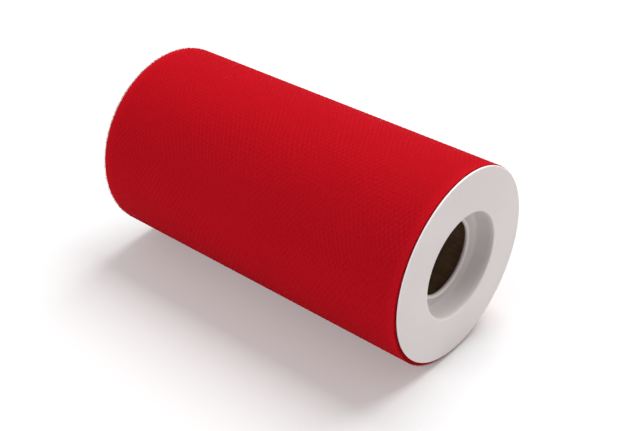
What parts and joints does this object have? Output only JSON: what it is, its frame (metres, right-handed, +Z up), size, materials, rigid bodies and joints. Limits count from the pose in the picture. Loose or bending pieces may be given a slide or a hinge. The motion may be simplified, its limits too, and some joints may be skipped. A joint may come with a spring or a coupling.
{
  "type": "net fabric roll",
  "caption": "Short roll of fine hexagonal net wound on a spiral paper core, closed at each end by a push-in flanged cap with a recessed bored socket.",
  "frame": {"origin": "middle of the roll's axis", "axes": "+X along the roll's axis, towards the end shown open in front; +Z up with the roll lying on its side; the loose end of the net is on the +Y side"},
  "size_m": [0.1264, 0.0668, 0.0666],
  "materials": {
    "core_paper": "matt unbleached paper",
    "white_tape": "thin double-sided tape",
    "net": "fine hexagonal net, slight sheen",
    "clear_tape": "clear film, glossy",
    "cap_plastic": "white moulded plastic, satin"
  },
  "bodies": {
    "roll": {"core_inner_ply": "core_paper", "core_middle_ply": "core_paper", "core_outer_ply": "core_paper", "start_tape": "white_tape", "net_winding": "net", "net_last_turn": "net", "end_tape": "clear_tape"},
    "right_cap": {"end_cap_right": "cap_plastic"},
    "left_cap": {"end_cap_left": "cap_plastic"}
  },
  "joints": [
    {"name": "right_cap_pull", "type": "slide", "parent": "roll", "child": "right_cap", "axis": [1, 0, 0], "range_m": [0, 0.02]},
    {"name": "left_cap_pull", "type": "slide", "parent": "roll", "child": "left_cap", "axis": [-1, 0, 0], "range_m": [0, 0.02]}
  ]
}
